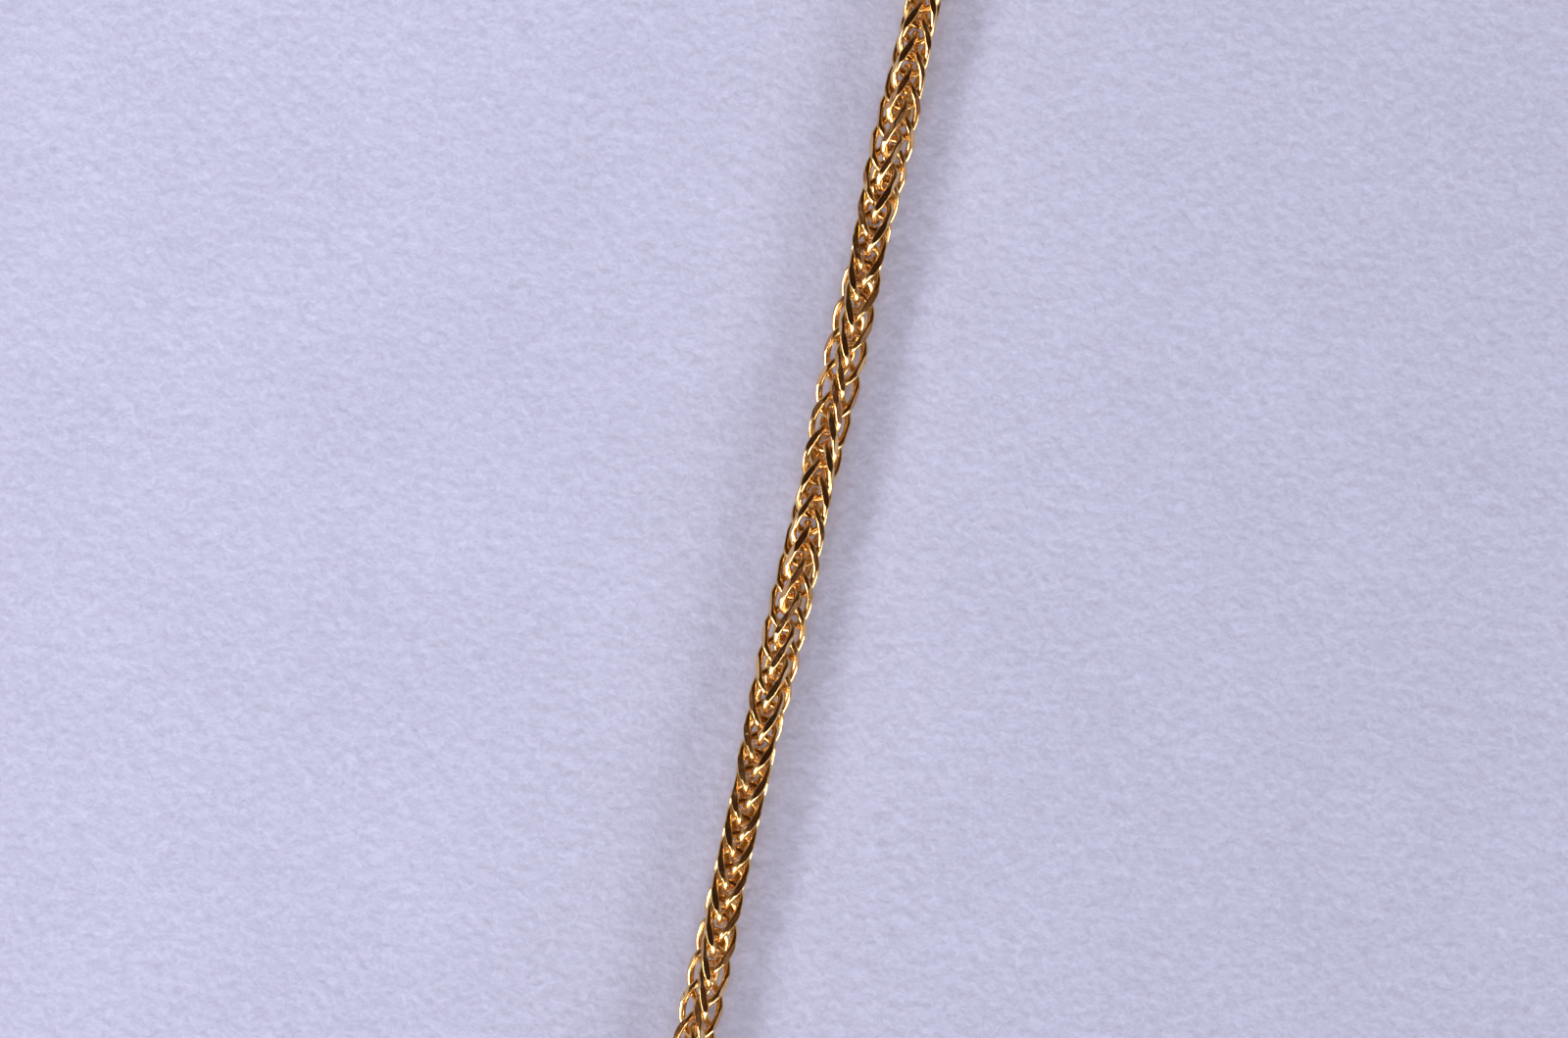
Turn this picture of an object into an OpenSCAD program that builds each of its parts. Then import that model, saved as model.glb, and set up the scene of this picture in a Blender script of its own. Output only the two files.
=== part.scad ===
// Wheat chain necklace with a plain barrel clasp, laid flat as a closed loop.
// Millimetres, +Z up. The chain lies on z = 0, its straight front run along Y at -X,
// the clasp in the middle of the back run at +X.

/* [Necklace] */
// Length round the closed necklace, measured along the middle of the chain
necklace_length = 450; // [400:10:600]
// Length of the straight run at the front of the laid loop
straight_run = 56; // [40:2:80]
// Turn of the chain round each end of the laid loop, in degrees
end_sweep = 150; // [130:5:170]

/* [Chain] */
// Thickness of the chain, from one ridge to the ridge across from it
chain_across = 1.5; // [1.4:0.1:2]
// Wire of the chain's last link, which holds the end ring
last_link_wire = 0.3; // [0.2:0.05:0.3]
// Hole of the chain's last link
last_link_hole = 0.85; // [0.75:0.05:0.9]

/* [End rings] */
// Outer diameter of the ring between the chain and the clasp
ring_across = 3.2; // [3:0.1:4]
// Wire of the ring
ring_wire = 0.55; // [0.4:0.05:0.6]

/* [Clasp] */
// Diameter of the barrel
barrel_across = 2.6; // [2.2:0.1:3]
// Length of the barrel without its eyes
barrel_length = 8; // [6:0.5:12]
// Rounding of the barrel's two rims
barrel_rim = 0.5; // [0.2:0.1:0.5]
// Wire of the eye at each end of the barrel
eye_wire = 0.45; // [0.3:0.05:0.5]
// Hole of the eye
eye_hole = 0.9; // [0.8:0.05:1]

/* [Hidden] */

$fn = 48;

// Half of the necklace's length, and the play between two linked wires
half_length = necklace_length / 2;
link_play = 0.1;

// The laid loop: straight front, two tight end bends and one wide back bend
back_turn = 180 - end_sweep;
back_spread = straight_run / 2 / sin(back_turn);
back_share = straight_run * back_turn * PI / 180 / sin(back_turn);
end_radius = (necklace_length - straight_run - back_share) / (2 * PI);
back_radius = end_radius + back_spread;
loop_depth = end_radius + back_radius - back_spread * cos(back_turn);
back_arc = back_radius * back_turn * PI / 180;
end_arc = end_radius * end_sweep * PI / 180;

// The loop is centred on its own box, which the barrel widens at the back
front_x = -(loop_depth + barrel_across / 2 - chain_across / 2) / 2;
back_x = front_x + loop_depth;

// Heights of the two wires that a ring links, and the ring's slope between them
chain_height = chain_across / 2;
barrel_height = barrel_across / 2;
ring_middle = ring_across - ring_wire;
ring_slope = asin((barrel_height - chain_height) / ring_middle);

// Places along the back run, from the middle of the clasp outwards
eye_place = barrel_length / 2 + eye_hole / 2;
ring_near = eye_place + eye_hole / 2 - ring_wire / 2 - link_play;
ring_place = ring_near + ring_middle / 2 * cos(ring_slope);
ring_far = ring_near + ring_middle * cos(ring_slope);
last_link_place = ring_far + last_link_hole / 2 - ring_wire / 2 - link_play;
chain_start = last_link_place + last_link_hole / 2;

// The tube that stands for the woven links
tube_rings = 80;
tube_sides = 8;
tube_corner = chain_across / 2 / cos(180 / tube_sides);

// Place and heading of a point on the loop, from the clasp's middle along +Y: [x, y, heading]
function on_back(s) =
    let (a = s / back_radius * 180 / PI)
    [back_x - back_radius + back_radius * cos(a), back_radius * sin(a), a + 90];
function on_end(s) =
    let (a = back_turn + (s - back_arc) / end_radius * 180 / PI)
    [front_x + end_radius + end_radius * cos(a), straight_run / 2 + end_radius * sin(a), a + 90];
function on_front(s) = [front_x, half_length - s, -90];
function on_half(s) =
    s < back_arc ? on_back(s) : s < back_arc + end_arc ? on_end(s) : on_front(s);
function mirrored(p) = [p[0], -p[1], 180 - p[2]];
function on_loop(s) = s < 0 ? mirrored(on_half(-s)) : on_half(s);

// One ring of the tube: corners round the chain's middle, square to its heading
function tube_ring(s) =
    let (p = on_loop(s))
    [for (i = [0:tube_sides - 1])
        let (
            a = (i + 0.5) * 360 / tube_sides,
            out = tube_corner * cos(a),
            up = chain_height + tube_corner * sin(a)
        )
        [p[0] + out * cos(p[2] - 90), p[1] + out * sin(p[2] - 90), up]];

// A place on the loop, with +Y along the chain
module along_loop(s) {
    p = on_loop(s);
    translate([p[0], p[1], 0]) rotate([0, 0, p[2] - 90]) children();
}

// A plain ring of round wire, lying flat
module wire_ring(middle, wire) {
    rotate_extrude() translate([middle / 2, 0]) circle(d = wire);
}

// A wire ring that stands on edge, its hole across the chain
module upright_ring(hole, wire) {
    rotate([0, 90, 0]) wire_ring(hole + wire, wire);
}

// The woven part of the chain as one tube, swept along the open loop
module woven_run() {
    // Both ends of the loop are its farthest point from the front, so the run goes the front way
    run = 2 * (half_length - chain_start);
    step = run / (tube_rings - 1);
    places = [for (k = [0:tube_rings - 1]) chain_start + k * step];
    rings = [for (s = places) tube_ring(s > half_length ? s - necklace_length : s)];
    corners = [for (ring = rings) each ring];
    sides = [
        for (k = [0:tube_rings - 2], i = [0:tube_sides - 1])
            let (
                here = k * tube_sides,
                next = here + tube_sides,
                j = (i + 1) % tube_sides
            )
            each [[here + i, here + j, next + j], [here + i, next + j, next + i]]
    ];
    first_cap = [for (i = [tube_sides - 1:-1:0]) i];
    last_cap = [for (i = [0:tube_sides - 1]) (tube_rings - 1) * tube_sides + i];
    polyhedron(points = corners, faces = concat(sides, [first_cap, last_cap]));
}

module chain() {
    color("goldenrod") {
        woven_run();
        for (side = [-1, 1])
            along_loop(side * last_link_place)
                translate([0, 0, chain_height]) upright_ring(last_link_hole, last_link_wire);
    }
}

// A ring slopes from the barrel's eye down to the chain's last link
module end_ring(side) {
    color("gold")
        along_loop(side * ring_place)
            translate([0, 0, (chain_height + barrel_height) / 2])
                rotate([-side * ring_slope, 0, 0]) wire_ring(ring_middle, ring_wire);
}

module end_ring_a() { end_ring(1); }

module end_ring_b() { end_ring(-1); }

// Half outline of the barrel, from its axis outwards, with round rims
module barrel_outline() {
    rim_middle = barrel_across / 2 - barrel_rim;
    translate([0, -barrel_length / 2]) square([rim_middle, barrel_length]);
    translate([0, barrel_rim - barrel_length / 2])
        square([barrel_across / 2, barrel_length - 2 * barrel_rim]);
    for (end = [-1, 1])
        translate([rim_middle, end * (barrel_length / 2 - barrel_rim)]) circle(r = barrel_rim);
}

module clasp_barrel() {
    color("gold")
        translate([back_x, 0, barrel_height]) {
            rotate([-90, 0, 0]) rotate_extrude() barrel_outline();
            for (side = [-1, 1])
                translate([0, side * eye_place, 0]) upright_ring(eye_hole, eye_wire);
        }
}

chain();
end_ring_a();
end_ring_b();
clasp_barrel();
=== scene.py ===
import math

import bpy
import numpy as np
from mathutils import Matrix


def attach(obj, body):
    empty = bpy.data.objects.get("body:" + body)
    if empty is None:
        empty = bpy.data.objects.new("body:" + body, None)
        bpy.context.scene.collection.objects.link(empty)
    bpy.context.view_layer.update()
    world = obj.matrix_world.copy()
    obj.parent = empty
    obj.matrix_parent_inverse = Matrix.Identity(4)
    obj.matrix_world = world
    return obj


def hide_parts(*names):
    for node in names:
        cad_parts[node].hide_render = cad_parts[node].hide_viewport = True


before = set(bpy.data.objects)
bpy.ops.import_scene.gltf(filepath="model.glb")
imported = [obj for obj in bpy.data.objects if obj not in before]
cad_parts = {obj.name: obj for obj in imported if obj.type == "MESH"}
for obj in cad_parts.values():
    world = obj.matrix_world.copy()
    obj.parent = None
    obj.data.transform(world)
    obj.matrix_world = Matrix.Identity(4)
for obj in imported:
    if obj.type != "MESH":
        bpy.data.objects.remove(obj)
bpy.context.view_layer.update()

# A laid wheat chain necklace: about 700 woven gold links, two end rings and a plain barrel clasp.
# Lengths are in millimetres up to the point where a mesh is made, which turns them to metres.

mm = 0.001

# The laid loop, with the same driving sizes as the solids
necklace = {
    "length": 450.0,  # closed length along the middle of the chain
    "straightRun": 56.0,  # straight front run
    "endSweep": 150.0,  # degrees turned round each end
    "chainAcross": 1.5,  # from ridge to ridge
    "barrelAcross": 2.6,
}

# The photograph's frame, and how the chain lies in it
photo = {
    "width": 1600,
    "chainAcrossPixels": 41.0,
    "lean": 12.45,  # degrees that the chain's top leans to the right
    "chainRight": 25.5,  # pixels from the frame's middle to the chain
    "stretch": 1083.7,  # pixels of chain from the top edge to the bottom edge
}
pixelsPerMm = photo["chainAcrossPixels"] / necklace["chainAcross"]


def loopSizes():
    # Radii and arc lengths of the laid loop: straight front, two end bends, one wide back bend
    turn = math.radians(180 - necklace["endSweep"])
    spread = necklace["straightRun"] / 2 / math.sin(turn)
    share = necklace["straightRun"] * turn / math.sin(turn)
    endRadius = (necklace["length"] - necklace["straightRun"] - share) / (2 * math.pi)
    backRadius = endRadius + spread
    depth = endRadius + backRadius - spread * math.cos(turn)
    frontX = -(depth + necklace["barrelAcross"] / 2 - necklace["chainAcross"] / 2) / 2
    return {
        "turn": turn,
        "endRadius": endRadius,
        "backRadius": backRadius,
        "frontX": frontX,
        "backX": frontX + depth,
        "backArc": backRadius * turn,
        "endArc": endRadius * (math.pi - turn),
    }


loop = loopSizes()
halfLength = necklace["length"] / 2


def alongLoop(place):
    # Point and heading on the loop at a distance from the clasp's middle, first along +Y. Two arcs
    # and a straight run, worked out for one half and mirrored for the other. Works on whole arrays.
    place = np.mod(np.asarray(place, float) + halfLength, 2 * halfLength) - halfLength
    s = np.abs(place)
    a = s / loop["backRadius"]
    b = loop["turn"] + (s - loop["backArc"]) / loop["endRadius"]
    onBack = s < loop["backArc"]
    onEnd = s < loop["backArc"] + loop["endArc"]
    backMiddle = loop["backX"] - loop["backRadius"]
    endMiddle = loop["frontX"] + loop["endRadius"]
    endX = endMiddle + loop["endRadius"] * np.cos(b)
    endY = necklace["straightRun"] / 2 + loop["endRadius"] * np.sin(b)
    x = np.where(onBack, backMiddle + loop["backRadius"] * np.cos(a), np.where(onEnd, endX, loop["frontX"]))
    y = np.where(onBack, loop["backRadius"] * np.sin(a), np.where(onEnd, endY, halfLength - s))
    heading = np.where(onBack, a, np.where(onEnd, b, math.pi)) + math.pi / 2
    back = place < 0
    return x, np.where(back, -y, y), np.where(back, math.pi - heading, heading)


# One woven link, and how the links follow each other
link = {
    "wire": 0.284,  # diameter of the round wire
    "edge": 0.03,  # radius that polishing leaves on the edges of the flats
    "halfWidth": 0.69,  # of the oval, at the middle of the wire
    "halfLength": 1.091,
    "squareness": 2.14,  # 2 is an ellipse, more gives straighter sides
    "twist": 76.6,  # degrees from the top arc to the bottom arc
    "twistEase": -0.15,  # below 0, more of the twist sits near the two arcs
    "upperTurn": 4.9,  # degrees from the top arc to the direction that the upper flats face
    "upperCut": 0.668,  # distance of the upper flats from the chain's middle
    "lowerTurn": 74.9,
    "lowerCut": 0.702,
    "leastFlat": 2.0,  # degrees round the wire from the middle of the thinnest flat to its edge
    "fade": (0.95, 0.3),  # share of the oval's height where unused flats' lines close up, and over how much
    "spacing": 0.6235,  # from one link to the next, which the count of links is rounded from
    "lift": 0.07,  # height of the woven chain's middle above the middle of the solid tube
}

# How far the cutter and the weave stray from one link to the next: standard deviations
stray = {"tilt": 1.5, "lean": 1.2, "cut": 0.008, "turn": 1.0, "place": 0.006}
chance = np.random.default_rng(11)


def unit(v):
    return v / np.linalg.norm(v, axis=-1, keepdims=True)


def dot(a, b):
    return np.sum(a * b, -1, keepdims=True)


def linkMiddle(t, hand):
    # How far a link's plane has turned, and the middle line of its wire, at the angles t round the oval.
    # The line is an ellipse swollen towards its corners, x = a cos(t) / n and z = b sin(t) / n with n the
    # m-th root of |cos(t)|^m + |sin(t)|^m. Its plane turns as it goes down: the top lies along X, the
    # bottom along Y, right or left handed.
    power = link["squareness"]
    swell = (np.abs(np.cos(t)) ** power + np.abs(np.sin(t)) ** power) ** (-1 / power)
    w = link["halfWidth"] * np.cos(t) * swell
    z = link["halfLength"] * np.sin(t) * swell
    down = -np.sin(t) * swell / 2
    turn = 0.5 + down + link["twistEase"] * np.sin(2 * math.pi * down) / (2 * math.pi)
    phi = math.radians(link["twist"]) * turn + math.radians(90 - link["twist"]) / 2
    return phi, np.stack([w * np.cos(phi), hand * w * np.sin(phi), z], -1)


def cutSection(t, upper, lower, sides):
    # Lines round the wire's section, cut by two chords: each line's corner on a circle of radius 1, and
    # the direction in which the rounded edge stands off from it. Then, by the line that a flat starts
    # at, where the flat is cut and its tone. A section with few sides has three lines for its cuts.
    swap = upper[0] > lower[0]
    aimA, reachA, cutsA, toneA = np.where(swap, lower, upper)
    aimB, reachB, cutsB, toneB = np.where(swap, upper, lower)
    cutsA, cutsB = cutsA > 0, cutsB > 0
    spreadA, spreadB = np.arccos(reachA), np.arccos(reachB)
    # Where a plane misses the wire, its lines close up and keep clear of the other's
    fadeEnd, fadeOver = link["fade"]
    fade = np.clip((fadeEnd - np.abs(np.sin(t))) / fadeOver, 0, 1)
    fade = fade * fade * (3 - 2 * fade)
    gap = 2 * math.radians(link["leastFlat"])
    aimB = np.where(cutsB, aimB, np.maximum(aimB * fade + gap, np.where(cutsA, aimA + spreadA + gap, gap)))
    aimA = np.where(cutsA, aimA, np.minimum(aimA * fade - gap, np.where(cutsB, aimB - spreadB - gap, -gap)))
    # The two chords' crossing, from the two lines' equations
    det = np.sin(aimB - aimA)
    crossX = (reachA * np.sin(aimB) - reachB * np.sin(aimA)) / det
    crossY = (reachB * np.cos(aimA) - reachA * np.cos(aimB)) / det
    meet = cutsA & cutsB & (np.hypot(crossX, crossY) < 1)
    endA, startB = aimA + spreadA, aimB - spreadB
    endX, endY = np.where(meet, crossX, np.cos(endA)), np.where(meet, crossY, np.sin(endA))
    startX, startY = np.where(meet, crossX, np.cos(startB)), np.where(meet, crossY, np.sin(startB))
    middleTurn = np.where(meet, (aimA + aimB) / 2, (endA + startB) / 2)
    middleX = np.where(meet, crossX, np.cos(middleTurn))
    middleY = np.where(meet, crossY, np.sin(middleTurn))
    beginA, finishB = aimA - spreadA, aimB + spreadB
    beginX, beginY, finishX, finishY = np.cos(beginA), np.sin(beginA), np.cos(finishB), np.sin(finishB)
    quarter = (aimB - aimA) / 4
    corner = np.stack([
        [beginX, beginY, beginA],
        [beginX, beginY, aimA - spreadA / 2],
        [beginX, beginY, aimA],
        [endX, endY, aimA],
        [endX, endY, np.where(meet, aimA + quarter, aimA + spreadA / 2)],
        [middleX, middleY, middleTurn],
        [startX, startY, np.where(meet, aimB - quarter, aimB - spreadB / 2)],
        [startX, startY, aimB],
        [finishX, finishY, aimB],
        [finishX, finishY, aimB + spreadB / 2],
        [finishX, finishY, finishB],
    ])
    flats = {2: (cutsA, toneA), 7: (cutsB, toneB)}
    if sides <= len(corner):
        corner = corner[[2, 5, 8]]
        flats = {0: (cutsA, toneA), 1: (cutsB, toneB)}
    rest = sides - len(corner)
    j = np.arange(1, rest + 1)[:, None, None] / (rest + 1)
    angle = corner[-1, 2] + (corner[0, 2] + 2 * math.pi - corner[-1, 2]) * j
    corner = np.concatenate([corner, np.stack([np.cos(angle), np.sin(angle), angle], 1)])
    return np.moveaxis(corner, 0, -1), flats


def linkGrids(hand, count, steps, sides):
    # Surfaces of a number of links, each in its own frame with +Z up the chain, as grids of steps round
    # the oval by sides round the wire. Two planes cut each arm, one above the ridge and one below. Each
    # takes a chord off the wire's circle, and the edges that they leave are rounded: the cut circle is
    # a smaller one, widened by the edge's radius. Also which faces are flats, and each flat's tone.
    soft = link["edge"]
    inner = link["wire"] / 2 - soft
    limit = math.cos(math.radians(link["leastFlat"]))
    t = (np.arange(steps) + 0.5) * 2 * math.pi / steps
    fine = 1e-4
    phi, centre = linkMiddle(t, hand)
    tangent = unit(linkMiddle(t + fine, hand)[1] - linkMiddle(t - fine, hand)[1])
    normal = np.stack([np.cos(t) * np.cos(phi), np.cos(t) * hand * np.sin(phi), np.sin(t)], -1)
    normal = unit(normal - dot(normal, tangent) * tangent)
    side = np.cross(normal, tangent)
    arm = (np.cos(t) < 0).astype(int)

    def chord(turn, cut):
        # Where a plane cuts the wire's circle: its direction in the circle, and how far out it is
        tilt = np.radians(turn + chance.normal(0, stray["tilt"], (count, 2)))[:, arm]
        lean = np.radians(chance.normal(0, stray["lean"], (count, 2)))[:, arm]
        depth = (cut + chance.normal(0, stray["cut"], (count, 2)))[:, arm]
        tone = chance.random((count, 2))[:, arm]
        out = 1 - 2 * arm
        plane = np.stack([out * np.cos(tilt), hand * out * np.sin(tilt), np.sin(lean)], -1)
        across = plane - dot(plane, tangent) * tangent
        steep = np.linalg.norm(across, axis=-1)
        reach = ((depth - dot(plane, centre)[..., 0]) / steep - soft) / inner
        aim = np.arctan2(dot(across, side)[..., 0], dot(across, normal)[..., 0])
        return np.stack([aim, np.minimum(reach, limit), reach < limit, tone])

    upper, lower = chord(link["upperTurn"], link["upperCut"]), chord(link["lowerTurn"], link["lowerCut"])
    corner, flats = cutSection(t, upper, lower, sides)
    x = inner * corner[0] + soft * np.cos(corner[2])
    y = inner * corner[1] + soft * np.sin(corner[2])
    points = centre[:, None] + x[..., None] * normal[:, None] + y[..., None] * side[:, None]
    cutFace = np.zeros((count, steps, sides), bool)
    facetTone = np.full((count, steps, sides), 0.5)
    for line, (cuts, tone) in flats.items():
        cutFace[..., line] = cuts & np.roll(cuts, -1, -1)
        facetTone[..., line] = tone
    return points, cutFace, facetTone


# How the chain turns about its own length
chainTurn = {
    # Pixels along the chain in the photograph, and degrees that it is turned by there
    "knots": (
        (10, -90), (45, -81), (78, -73), (110, -60), (150, -45), (270, 0), (400, 45), (510, 90), (650, 135),
        (780, 172), (840, 179.6), (900, 181.5), (950, 187), (1000, 203), (1045, 225), (1083, 240),
    ),
    "rate": 0.321,  # degrees a pixel outside the photographed stretch
}


def photoPixel(place):
    # Pixels along the photographed chain at a place on the loop
    return photo["stretch"] / 2 + (place - halfLength) * pixelsPerMm


def turnAt(place, first, last):
    # Degrees that the chain is turned by at a place on the loop. Along the front run it goes through the
    # photographed turns, elsewhere it keeps about the mean rate up to the first and last links, whose
    # outer arcs lie level
    at, turned = np.array(chainTurn["knots"], float).T
    start, stop = photoPixel(first), photoPixel(last)
    firstTurn = 180 * round((turned[0] - chainTurn["rate"] * (at[0] - start)) / 180)
    lastTurn = 90 + 180 * round((turned[-1] + chainTurn["rate"] * (stop - at[-1]) - 90) / 180)
    at = np.concatenate([[start], at, [stop]])
    turned = np.concatenate([[firstTurn], turned, [lastTurn]])
    return np.interp(photoPixel(place), at, turned)


# Rings and clasp, with the same driving sizes as the solids but for the last links'
fittings = {
    "ringAcross": 3.2,
    "ringWire": 0.55,
    "barrelLength": 8.0,
    "barrelRim": 0.5,
    "rimBand": 0.03,  # width of the two flat bands beside the rounded rim
    "eyeWire": 0.45,
    "eyeHole": 0.9,
    # The plain link between the end ring and the woven links, a little wider than the solids' eye,
    # so that the ring and the first woven link pass through it side by side
    "lastLinkHole": 0.95,
    "lastLinkWire": 0.3,
    "lastLinkPlay": 0.05,  # between it and the ring
    "play": 0.1,  # between the ring and the clasp's eye
    "weavePlay": 0.03,  # between the plain link and the first woven one
}


def fittingPlaces():
    # Heights of the linked wires and their places along the back run, from the clasp outwards
    f = fittings
    low = necklace["chainAcross"] / 2
    high = necklace["barrelAcross"] / 2
    middle = f["ringAcross"] - f["ringWire"]
    slope = math.asin((high - low) / middle)
    eye = f["barrelLength"] / 2 + f["eyeHole"] / 2
    near = eye + f["eyeHole"] / 2 - f["ringWire"] / 2 - f["play"]
    far = near + middle * math.cos(slope)
    lastLink = far + f["lastLinkHole"] / 2 - f["ringWire"] / 2 - f["lastLinkPlay"]
    weave = lastLink + (f["lastLinkHole"] - link["wire"]) / 2 - f["weavePlay"]
    return {
        "low": low, "high": high, "middle": middle, "slope": slope, "eye": eye,
        "ring": near + middle / 2 * math.cos(slope), "lastLink": lastLink, "weave": weave,
    }


places = fittingPlaces()
firstPlace = places["weave"] + link["halfLength"]
lastPlace = necklace["length"] - firstPlace
# An odd number, so that one link is in the middle of the front run
linkCount = 2 * round((lastPlace - firstPlace) / 2 / link["spacing"]) + 1
allPlaces = np.linspace(firstPlace, lastPlace, linkCount)
allTurns = np.radians(turnAt(allPlaces, firstPlace, lastPlace))
print("links:", linkCount, "spacing:", round(float(allPlaces[1] - allPlaces[0]), 4))


def laid(points, at, turn):
    # Carries link surfaces to their places: up the link goes back along the loop, and its X and Y go
    # across the loop and upwards, turned about the chain's length
    at = at[:, None, None]
    turn = turn[:, None, None]
    x, y, z = points[..., 0], points[..., 1], points[..., 2]
    px, py, heading = alongLoop(at - z)
    across = -x * np.cos(turn) + y * np.sin(turn)
    up = x * np.sin(turn) + y * np.cos(turn) + places["low"] + link["lift"]
    return np.stack([px - across * np.sin(heading), py + across * np.cos(heading), up], -1)


def gridMesh(name, grids, sharp=None, values=None):
    # Makes one mesh from many grids of the same kind, each wrapped both ways
    count, steps, sides, _ = grids.shape
    a = np.arange(steps)[:, None]
    b = np.arange(sides)[None]
    a1, b1 = (a + 1) % steps, (b + 1) % sides
    quads = np.stack([a * sides + b, a1 * sides + b, a1 * sides + b1, a * sides + b1], -1).reshape(-1, 4)
    faces = (quads[None] + (np.arange(count) * steps * sides)[:, None, None]).reshape(-1, 4)
    mesh = bpy.data.meshes.new(name)
    mesh.vertices.add(count * steps * sides)
    mesh.vertices.foreach_set("co", (grids.reshape(-1, 3) * mm).astype(np.float32).ravel())
    mesh.loops.add(faces.size)
    mesh.loops.foreach_set("vertex_index", faces.astype(np.int32).ravel())
    mesh.polygons.add(len(faces))
    mesh.polygons.foreach_set("loop_start", np.arange(0, faces.size, 4, dtype=np.int32))
    mesh.update(calc_edges=True)
    if sharp is not None:
        mesh.attributes.new("sharp_face", "BOOLEAN", "FACE").data.foreach_set("value", sharp.ravel())
    for key, value in (values or {}).items():
        spread = value.ravel().astype(np.float32)
        mesh.attributes.new(key, "FLOAT", "FACE").data.foreach_set("value", spread)
    mesh.validate()
    piece = bpy.data.objects.new(name, mesh)
    bpy.context.collection.objects.link(piece)
    return piece


# Steps round each oval or ring, and sides round its wire
detail = {
    "photographed": (120, 18),
    "elsewhere": (20, 7),
    "lastLink": (48, 14),
    "ring": (96, 20),
    "eye": (64, 16),
}
barrelSides, rimSteps = 64, 9
photoMargin = 3.0  # how far their detail goes on past the photograph's edges


def toLinear(code):
    # An sRGB hex value as linear red, green and blue
    values = [int(code[i:i + 2], 16) / 255 for i in (1, 3, 5)]
    return tuple(v / 12.92 if v <= 0.04045 else ((v + 0.055) / 1.055) ** 2.4 for v in values) + (1.0,)


def addNode(tree, kind, settings=None, links=None):
    # Adds a node, sets its colour stops, socket values and properties, and links its inputs
    node = tree.nodes.new(kind)
    for key, value in (settings or {}).items():
        if key == "stops":
            elements = node.color_ramp.elements
            while len(elements) < len(value):
                elements.new(0.5)
            for element, (place, colour) in zip(elements, value):
                element.position = place
                element.color = toLinear(colour)
        elif isinstance(key, int) or key in node.inputs:
            node.inputs[key].default_value = value
        else:
            setattr(node, key, value)
    for key, socket in (links or {}).items():
        tree.links.new(socket, node.inputs[key])
    return node


# Patterns and depths in millimetres, here and in the looks below
cutGoldLook = {
    "grit": 0.06,  # grain in the polish, coarser than the cutter's own marks, so that it shows
    "gritDepth": 0.01,
    "gritStrength": 0.12,
    "wave": 0.45,  # long marks of the cutter on its flats
    "waveDepth": 0.06,
    "stain": 0.5,  # left where polish stayed in the weave
    "wireRough": {"To Min": 0.2, "To Max": 0.28},
    "cutRough": {"From Min": 0.35, "From Max": 0.75, "To Min": 0.08, "To Max": 0.3},
    "wireColours": ((0.3, "#EFBF78"), (0.65, "#F6D28B")),
    "cutColours": ((0.0, "#D9A070"), (0.35, "#EFC88C")),
}


def cutGoldMaterial():
    # 18 carat yellow gold, drawn to wire and then diamond cut. The drawn wire is satiny and runs its
    # reflections together, the cuts are mirrors with a faint cutter's grain and a tone of their own.
    look = cutGoldLook
    material = bpy.data.materials.new("drawn and diamond cut yellow gold")
    material.use_nodes = True
    tree = material.node_tree
    shader = tree.nodes["Principled BSDF"]
    shader.inputs["Metallic"].default_value = 1.0
    where = addNode(tree, "ShaderNodeTexCoord").outputs["Object"]
    cut = addNode(tree, "ShaderNodeAttribute", {"attribute_name": "cutFace"}).outputs["Fac"]
    tone = addNode(tree, "ShaderNodeAttribute", {"attribute_name": "facetTone"}).outputs["Fac"]
    gritSettings = {"Scale": 1 / (look["grit"] * mm), "Detail": 3.0, "Roughness": 0.6}
    grit = addNode(tree, "ShaderNodeTexNoise", gritSettings, {"Vector": where}).outputs["Fac"]
    wireRough = addNode(tree, "ShaderNodeMapRange", look["wireRough"], {"Value": grit})
    cutRough = addNode(tree, "ShaderNodeMapRange", look["cutRough"], {"Value": grit})
    rough = addNode(tree, "ShaderNodeMix", {"data_type": "FLOAT"}, {
        "Factor": cut, 2: wireRough.outputs["Result"], 3: cutRough.outputs["Result"],
    })
    tree.links.new(rough.outputs[0], shader.inputs["Roughness"])
    stainSettings = {"Scale": 1 / (look["stain"] * mm), "Detail": 2.0}
    stain = addNode(tree, "ShaderNodeTexNoise", stainSettings, {"Vector": where}).outputs["Fac"]
    wireColour = addNode(tree, "ShaderNodeValToRGB", {"stops": look["wireColours"]}, {"Fac": stain})
    cutColour = addNode(tree, "ShaderNodeValToRGB", {"stops": look["cutColours"]}, {"Fac": tone})
    colour = addNode(tree, "ShaderNodeMix", {"data_type": "RGBA"}, {
        "Factor": cut, 6: wireColour.outputs["Color"], 7: cutColour.outputs["Color"],
    })
    tree.links.new(colour.outputs[2], shader.inputs["Base Color"])
    gritBump = addNode(tree, "ShaderNodeBump", {
        "Strength": look["gritStrength"], "Distance": look["gritDepth"] * mm,
    }, {"Height": grit})
    # The waves are on the flats alone, so that a flat goes from dark to brown along its length
    waveSettings = {"Scale": 1 / (look["wave"] * mm), "Detail": 1.0}
    wave = addNode(tree, "ShaderNodeTexNoise", waveSettings, {"Vector": where}).outputs["Fac"]
    waveBump = addNode(tree, "ShaderNodeBump", {"Distance": look["waveDepth"] * mm}, {
        "Strength": cut, "Height": wave, "Normal": gritBump.outputs["Normal"],
    })
    tree.links.new(waveBump.outputs["Normal"], shader.inputs["Normal"])
    return material


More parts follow.
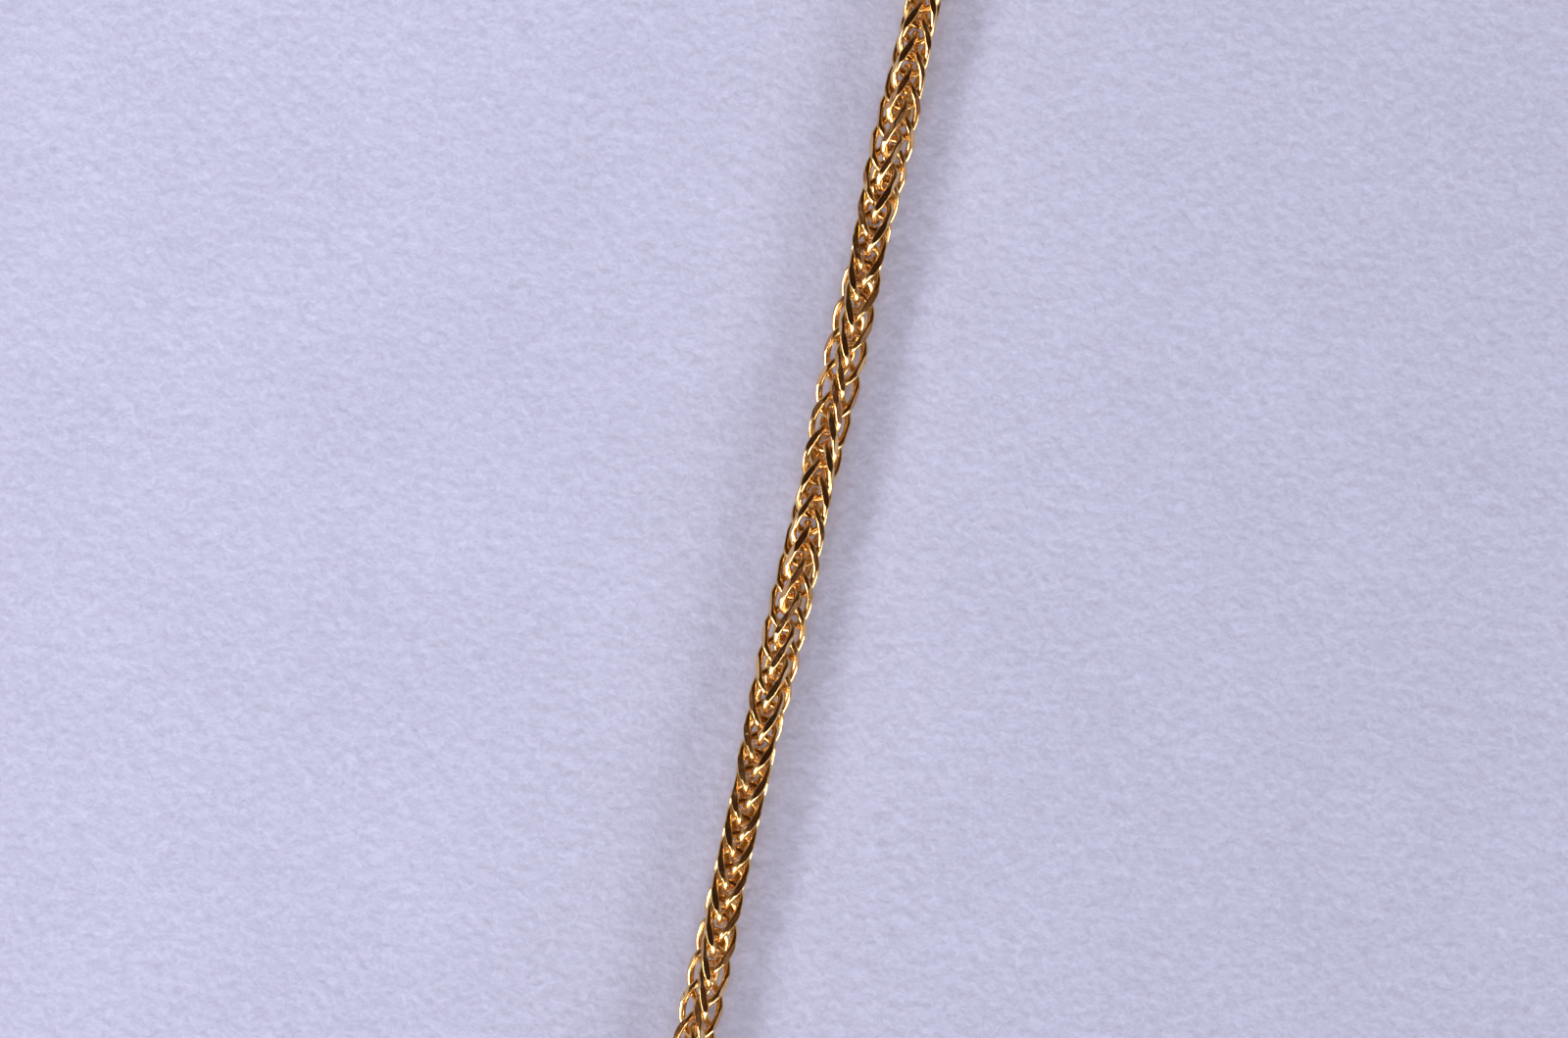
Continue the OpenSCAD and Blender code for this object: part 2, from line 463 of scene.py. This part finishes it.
buffedGoldLook = {
    "wear": 0.8,  # dulled patches
    "hair": 0.05,  # width of the hairlines
    "hairStretch": 5.0,  # how much longer they are along the clasp
    "hairDepth": 0.01,
    "hairStrength": 0.08,
    "rough": {"From Min": 0.35, "From Max": 0.7, "To Min": 0.1, "To Max": 0.24},
    "colours": ((0.3, "#E8BC7E"), (0.7, "#F2CC90")),
}


def buffedGoldMaterial():
    # The same gold, buffed: a mirror with hairline wear that dulls it in patches
    look = buffedGoldLook
    material = bpy.data.materials.new("buffed yellow gold")
    material.use_nodes = True
    tree = material.node_tree
    shader = tree.nodes["Principled BSDF"]
    shader.inputs["Metallic"].default_value = 1.0
    where = addNode(tree, "ShaderNodeTexCoord").outputs["Object"]
    wearSettings = {"Scale": 1 / (look["wear"] * mm), "Detail": 4.0}
    wear = addNode(tree, "ShaderNodeTexNoise", wearSettings, {"Vector": where}).outputs["Fac"]
    rough = addNode(tree, "ShaderNodeMapRange", look["rough"], {"Value": wear})
    tree.links.new(rough.outputs["Result"], shader.inputs["Roughness"])
    colour = addNode(tree, "ShaderNodeValToRGB", {"stops": look["colours"]}, {"Fac": wear})
    tree.links.new(colour.outputs["Color"], shader.inputs["Base Color"])
    alongClasp = {"Scale": (1.0, 1 / look["hairStretch"], 1.0)}
    stretched = addNode(tree, "ShaderNodeMapping", alongClasp, {"Vector": where})
    hairSettings = {"Scale": 1 / (look["hair"] * mm), "Detail": 2.0}
    hair = addNode(tree, "ShaderNodeTexNoise", hairSettings, {"Vector": stretched.outputs["Vector"]})
    bump = addNode(tree, "ShaderNodeBump", {
        "Strength": look["hairStrength"], "Distance": look["hairDepth"] * mm,
    }, {"Height": hair.outputs["Fac"]})
    tree.links.new(bump.outputs["Normal"], shader.inputs["Normal"])
    return material


cutGold = cutGoldMaterial()
buffedGold = buffedGoldMaterial()

# The chain in four pieces, two of them the photographed stretch in full detail
seenReach = photoMargin + photo["stretch"] / 2 / pixelsPerMm
seen = np.where(np.abs(allPlaces - halfLength) < seenReach)[0]
firstSeen, lastSeen = seen[0], seen[-1] + 1
print("links in the photographed stretch:", len(seen))
middleSeen = (firstSeen + lastSeen) // 2
stretches = {
    "chain_front_a": (firstSeen, middleSeen, "photographed"),
    "chain_front_b": (middleSeen, lastSeen, "photographed"),
    "chain_side_a": (0, firstSeen, "elsewhere"),
    "chain_side_b": (lastSeen, linkCount, "elsewhere"),
}
for name, (begin, end, kind) in stretches.items():
    grids, cuts, tones = [], [], []
    for hand in (1, -1):
        numbers = np.arange(begin, end)
        numbers = numbers[((numbers - linkCount // 2) % 2 == 1) == (hand == 1)]
        points, cutFace, facetTone = linkGrids(hand, len(numbers), *detail[kind])
        at = allPlaces[numbers] + chance.normal(0, stray["place"], len(numbers))
        turn = allTurns[numbers] + np.radians(chance.normal(0, stray["turn"], len(numbers)))
        grids.append(laid(points, at, turn))
        cuts.append(cutFace)
        tones.append(facetTone)
    cuts, tones = np.concatenate(cuts), np.concatenate(tones)
    piece = gridMesh(name, np.concatenate(grids), cuts, {"cutFace": cuts, "facetTone": tones})
    piece.data.materials.append(cutGold)
    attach(piece, "root")
    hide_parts("chain")
    print(piece.name, len(piece.data.polygons) * 2, "triangles")


def wireRing(kind, middle, wire, centre, alongA, alongB):
    # A ring of round wire: a circle of the wire's radius carried round the ring's own circle, which
    # has the middle diameter and lies in the plane of the two directions
    steps, sides = detail[kind]
    u = (np.arange(steps) * 2 * math.pi / steps)[:, None, None]
    v = (np.arange(sides) * 2 * math.pi / sides)[None, :, None]
    out = np.cos(u) * alongA + np.sin(u) * alongB
    axis = np.cross(alongA, alongB)
    return np.array(centre) + (middle + wire * np.cos(v)) / 2 * out + wire / 2 * np.sin(v) * axis


def loopFrame(place):
    # Point on the loop, and the level directions along and across the chain there
    x, y, heading = (float(v) for v in alongLoop(place))
    along = np.array([math.cos(heading), math.sin(heading), 0])
    across = np.array([math.sin(heading), -math.cos(heading), 0])
    return x, y, along, across


def dress(piece, node, material):
    # Gives a fitting its material and its place in the part
    piece.data.materials.append(material)
    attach(piece, "root")
    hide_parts(node)
    print(piece.name, len(piece.data.polygons), "faces")


upward = np.array([0.0, 0.0, 1.0])
weaveHeight = places["low"] + link["lift"]
lastLinks = []
for side in (1, -1):
    x, y, along, across = loopFrame(side * places["lastLink"])
    middle = fittings["lastLinkHole"] + fittings["lastLinkWire"]
    centre = (x, y, weaveHeight)
    lastLinks.append(wireRing("lastLink", middle, fittings["lastLinkWire"], centre, along, upward))
dress(gridMesh("chain_end_links", np.stack(lastLinks)), "chain", buffedGold)

for side, node in ((1, "end_ring_a"), (-1, "end_ring_b")):
    x, y, along, across = loopFrame(side * places["ring"])
    height = (places["low"] + places["high"]) / 2
    sloped = along * math.cos(places["slope"]) - side * upward * math.sin(places["slope"])
    ring = wireRing("ring", places["middle"], fittings["ringWire"], (x, y, height), across, sloped)
    dress(gridMesh(node + "_wire", ring[None]), node, buffedGold)


def lathe(name, outline, centre, sides):
    # A solid turned about an axis along Y, from an outline of (distance out, distance along) with a
    # pole at each end. One corner closes each pole.
    out, along = np.array(outline[1:-1]).T
    turn = np.arange(sides) * 2 * math.pi / sides
    out, along = out[:, None], along[:, None]
    rings = np.stack([out * np.sin(turn), along + 0 * turn, out * np.cos(turn)], -1)
    poles = [(0, outline[0][1], 0), (0, outline[-1][1], 0)]
    points = (np.concatenate([rings.reshape(-1, 3), poles]) + centre) * mm
    a = (np.arange(len(out) - 1) * sides)[:, None]
    b = np.arange(sides)
    b1 = (b + 1) % sides
    quads = np.stack([a + b, a + b1, a + sides + b1, a + sides + b], -1).reshape(-1, 4)
    last = (len(out) - 1) * sides
    first = np.stack([b1, b, np.full(sides, len(points) - 2)], -1)
    final = np.stack([last + b, last + b1, np.full(sides, len(points) - 1)], -1)
    faces = quads.tolist() + first.tolist() + final.tolist()
    mesh = bpy.data.meshes.new(name)
    mesh.from_pydata(points.tolist(), [], faces, shade_flat=False)
    mesh.validate()
    piece = bpy.data.objects.new(name, mesh)
    bpy.context.collection.objects.link(piece)
    return piece


# The barrel, its rims rounded between two narrow bands that keep the faces' shading flat
rim, band, halfBarrel = fittings["barrelRim"], fittings["rimBand"], fittings["barrelLength"] / 2
face = necklace["barrelAcross"] / 2 - rim
bend = np.linspace(0, math.pi / 2, rimSteps)
lower = [(face + rim * math.sin(v), -halfBarrel + rim - rim * math.cos(v)) for v in bend]
lower = [(0, -halfBarrel), (face - band, -halfBarrel), *lower, (face + rim, -halfBarrel + rim + band)]
outline = lower + [(r, -s) for r, s in reversed(lower)]
barrel = lathe("clasp_barrel_body", outline, (loop["backX"], 0, places["high"]), barrelSides)
dress(barrel, "clasp_barrel", buffedGold)

eyes = []
for side in (1, -1):
    middle = fittings["eyeHole"] + fittings["eyeWire"]
    centre = (loop["backX"], side * places["eye"], places["high"])
    eyes.append(wireRing("eye", middle, fittings["eyeWire"], centre, np.array([0.0, 1.0, 0.0]), upward))
dress(gridMesh("clasp_barrel_eyes", np.stack(eyes)), "clasp_barrel", buffedGold)

# The card that the necklace lies on
cardLook = {
    "halfSide": 3.0,  # metres
    "cloud": 6.0,
    "fibre": 0.4,
    "fibreShare": 0.8,  # of the tone's pattern, the rest is clouds
    "felt": 0.45,
    "feltDepth": 0.032,
    "colours": ((0.35, "#C9D0E8"), (0.65, "#DAE2FB")),
    # It is lighter to the left of the front run than to the right, as it is in the photograph
    # Painted light falloff: a fall of light across the card, painted into its colour by these scale values
    "slope": {"To Min": 1.065, "To Max": 0.93},
    "paintedFalloffReach": 22.0,  # to each side of the front run
}


def lavenderCardMaterial():
    # Uncoated lavender card, felt marked: dull, with faint clouds and curled fibres in its tone, and a
    # felt and finer grain in its surface, which the low windows bring out. Over this, a painted light
    # falloff makes its colour lighter to the left of the front run and darker to the right.
    look = cardLook
    material = bpy.data.materials.new("uncoated lavender card")
    material.use_nodes = True
    tree = material.node_tree
    shader = tree.nodes["Principled BSDF"]
    shader.inputs["Roughness"].default_value = 0.9
    where = addNode(tree, "ShaderNodeTexCoord").outputs["Object"]
    cloudSettings = {"Scale": 1 / (look["cloud"] * mm), "Detail": 3.0}
    cloud = addNode(tree, "ShaderNodeTexNoise", cloudSettings, {"Vector": where})
    fibreSettings = {"Scale": 1 / (look["fibre"] * mm), "Detail": 4.0, "Roughness": 0.6, "Distortion": 1.5}
    fibre = addNode(tree, "ShaderNodeTexNoise", fibreSettings, {"Vector": where})
    blend = addNode(tree, "ShaderNodeMix", {"data_type": "FLOAT", "Factor": look["fibreShare"]}, {
        2: cloud.outputs["Fac"], 3: fibre.outputs["Fac"],
    })
    tone = addNode(tree, "ShaderNodeValToRGB", {"stops": look["colours"]}, {"Fac": blend.outputs[0]})
    place = addNode(tree, "ShaderNodeSeparateXYZ", links={"Vector": where})
    # Painted light falloff: the tone is scaled from lighter on the left of the front run to darker on its
    # right, and holds each end value beyond
    reach = look["paintedFalloffReach"]
    fromTo = {"From Min": (loop["frontX"] - reach) * mm, "From Max": (loop["frontX"] + reach) * mm}
    paintedFalloff = addNode(tree, "ShaderNodeMapRange", {**fromTo, **look["slope"]}, {"Value": place.outputs["X"]})
    shaded = addNode(tree, "ShaderNodeHueSaturation", links={
        "Value": paintedFalloff.outputs["Result"], "Color": tone.outputs["Color"],
    })
    tree.links.new(shaded.outputs["Color"], shader.inputs["Base Color"])
    feltSettings = {"Scale": 1 / (look["felt"] * mm), "Detail": 4.0, "Roughness": 0.42}
    felt = addNode(tree, "ShaderNodeTexNoise", feltSettings, {"Vector": where})
    bump = addNode(tree, "ShaderNodeBump", {"Strength": 1.0, "Distance": look["feltDepth"] * mm}, {
        "Height": felt.outputs["Fac"],
    })
    tree.links.new(bump.outputs["Normal"], shader.inputs["Normal"])
    return material


floorMesh = bpy.data.meshes.new("floor")
far = cardLook["halfSide"]
corners = [(-far, -far, 0), (far, -far, 0), (far, far, 0), (-far, far, 0)]
floorMesh.from_pydata(corners, [], [(0, 1, 2, 3)])
floorMesh.materials.append(lavenderCardMaterial())
floor = bpy.data.objects.new("floor", floorMesh)
bpy.context.collection.objects.link(floor)
print("card laid")

# Lights: a dim warm room with three windows, in front of the chain and at its two sides. Heights are
# the Z of a direction, 0 at the horizon and 1 straight up.
room = {
    # Colours by height, which the flats mirror one by one as the chain turns
    "colours": (
        (0.0, "#A0979F"), (0.17, "#94868F"), (0.31, "#7B6662"), (0.44, "#694F3F"),
        (0.56, "#573F30"), (0.7, "#452F21"), (0.85, "#38251A"), (1.0, "#2C1F16"),
    ),
    "rightSide": 0.15,  # how much farther up the light colours reach on the right
    "behind": {"From Min": 0.3, "From Max": 0.8, "To Min": 1.0, "To Max": 0.3},  # the light's share along +Y
    # Each window's strength, its sides in degrees round from +X, and the heights of its sill and top
    "windows": {
        "left": (23.5, -160, -122, 0.37, 0.59),
        "front": (11.0, -112, -68, 0.2, 0.64),
        "right": (13.0, -60, -20, 0.18, 0.48),
    },
    "softness": (8, 0.07),  # over which a window goes from dark to lit, in degrees and in height
    "glass": "#FFF8FF",
}


def lightRoom():
    # The room goes all round: its walls' colours by height, darker behind, and over them the windows
    world = bpy.data.worlds.new("dim room with three windows")
    bpy.context.scene.world = world
    world.use_nodes = True
    sky = world.node_tree
    walls = sky.nodes["Background"]
    aim = addNode(sky, "ShaderNodeTexCoord")
    split = addNode(sky, "ShaderNodeSeparateXYZ", links={"Vector": aim.outputs["Generated"]})
    reach = addNode(sky, "ShaderNodeMath", {"operation": "MULTIPLY_ADD", 1: -room["rightSide"], 2: 1.0}, {
        0: split.outputs["X"],
    })
    level = addNode(sky, "ShaderNodeMath", {"operation": "MULTIPLY"}, {
        0: reach.outputs["Value"], 1: split.outputs["Z"],
    })
    colour = addNode(sky, "ShaderNodeValToRGB", {"stops": room["colours"]}, {"Fac": level.outputs["Value"]})
    sky.links.new(colour.outputs["Color"], walls.inputs["Color"])
    darker = addNode(sky, "ShaderNodeMapRange", room["behind"], {"Value": split.outputs["Y"]})
    sky.links.new(darker.outputs["Result"], walls.inputs["Strength"])
    light = walls.outputs["Background"]
    compass = addNode(sky, "ShaderNodeMath", {"operation": "ARCTAN2"}, {
        0: split.outputs["Y"], 1: split.outputs["X"],
    })
    softTurn, softHeight = math.radians(room["softness"][0]), room["softness"][1]
    for strength, start, stop, sill, top in room["windows"].values():
        # A window's shape is the product of its four soft edges
        start, stop = math.radians(start), math.radians(stop)
        edges = (
            (compass.outputs["Value"], start, start + softTurn),
            (compass.outputs["Value"], stop, stop - softTurn),
            (split.outputs["Z"], sill, sill + softHeight),
            (split.outputs["Z"], top, top - softHeight),
        )
        mask = None
        for socket, dark, lit in edges:
            ramp = {"interpolation_type": "SMOOTHSTEP", "From Min": dark, "From Max": lit}
            edge = addNode(sky, "ShaderNodeMapRange", ramp, {"Value": socket}).outputs["Result"]
            if mask is None:
                mask = edge
                continue
            product = addNode(sky, "ShaderNodeMath", {"operation": "MULTIPLY"}, {0: mask, 1: edge})
            mask = product.outputs["Value"]
        daylight = {"Color": toLinear(room["glass"]), "Strength": strength}
        glass = addNode(sky, "ShaderNodeBackground", daylight).outputs["Background"]
        mixed = addNode(sky, "ShaderNodeMixShader", links={0: mask, 1: light, 2: glass})
        light = mixed.outputs["Shader"]
    sky.links.new(light, sky.nodes["World Output"].inputs["Surface"])
    print("room lit through", len(room["windows"]), "windows")


lightRoom()

# Camera straight above, rolled by the chain's lean
cameraView = {
    "height": 0.3,  # metres above the chain's middle
    "sensor": 36.0,  # width in millimetres
}
camera = bpy.data.cameras.new("camera")
holder = bpy.data.objects.new("camera", camera)
bpy.context.collection.objects.link(holder)
lean = math.radians(photo["lean"])
right = photo["chainRight"] / pixelsPerMm * mm
holder.location = (
    loop["frontX"] * mm - right * math.cos(lean), -right * math.sin(lean),
    cameraView["height"] + places["low"] * mm,
)
holder.rotation_euler = (0, 0, lean)
camera.sensor_width = cameraView["sensor"]
camera.lens = cameraView["sensor"] * cameraView["height"] / (photo["width"] / pixelsPerMm * mm)
bpy.context.scene.camera = holder
bpy.context.scene.view_settings.view_transform = "Standard"
